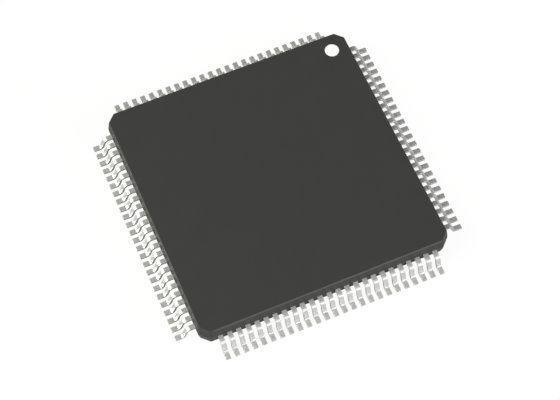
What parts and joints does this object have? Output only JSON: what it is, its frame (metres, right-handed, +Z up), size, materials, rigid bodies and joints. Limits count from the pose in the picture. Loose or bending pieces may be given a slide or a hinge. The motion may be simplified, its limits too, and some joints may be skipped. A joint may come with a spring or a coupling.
{
  "type": "quad flat pack chip",
  "caption": "Square low-profile chip package: dark moulded body with chamfered corners and a white pin-one dot, standing on fine-pitch gull-wing leads along every side.",
  "frame": {"origin": "middle of the seating plane, under the feet of the leads", "axes": "+Z up out of the top face; +X and +Y square to the body's sides, with the pin one dot in the +X +Y corner; lead rows are numbered counter-clockwise from the dot, row 1 on the +Y side"},
  "size_m": [0.0162, 0.0162, 0.0014],
  "materials": {
    "moulding": "matte epoxy moulding compound, charcoal",
    "tin_plate": "matte tin plate over copper alloy",
    "frame_copper": "bare copper alloy sheet",
    "silicon": "polished silicon",
    "die_glue": "silver-filled epoxy",
    "white_ink": "flat white marking ink"
  },
  "bodies": {
    "root": {"lead_row_1": "tin_plate", "lead_row_2": "tin_plate", "lead_row_3": "tin_plate", "lead_row_4": "tin_plate", "moulded_body": "moulding", "die_pad": "frame_copper", "die_attach": "die_glue", "die": "silicon", "pin_one_dot": "white_ink"}
  },
  "joints": []
}
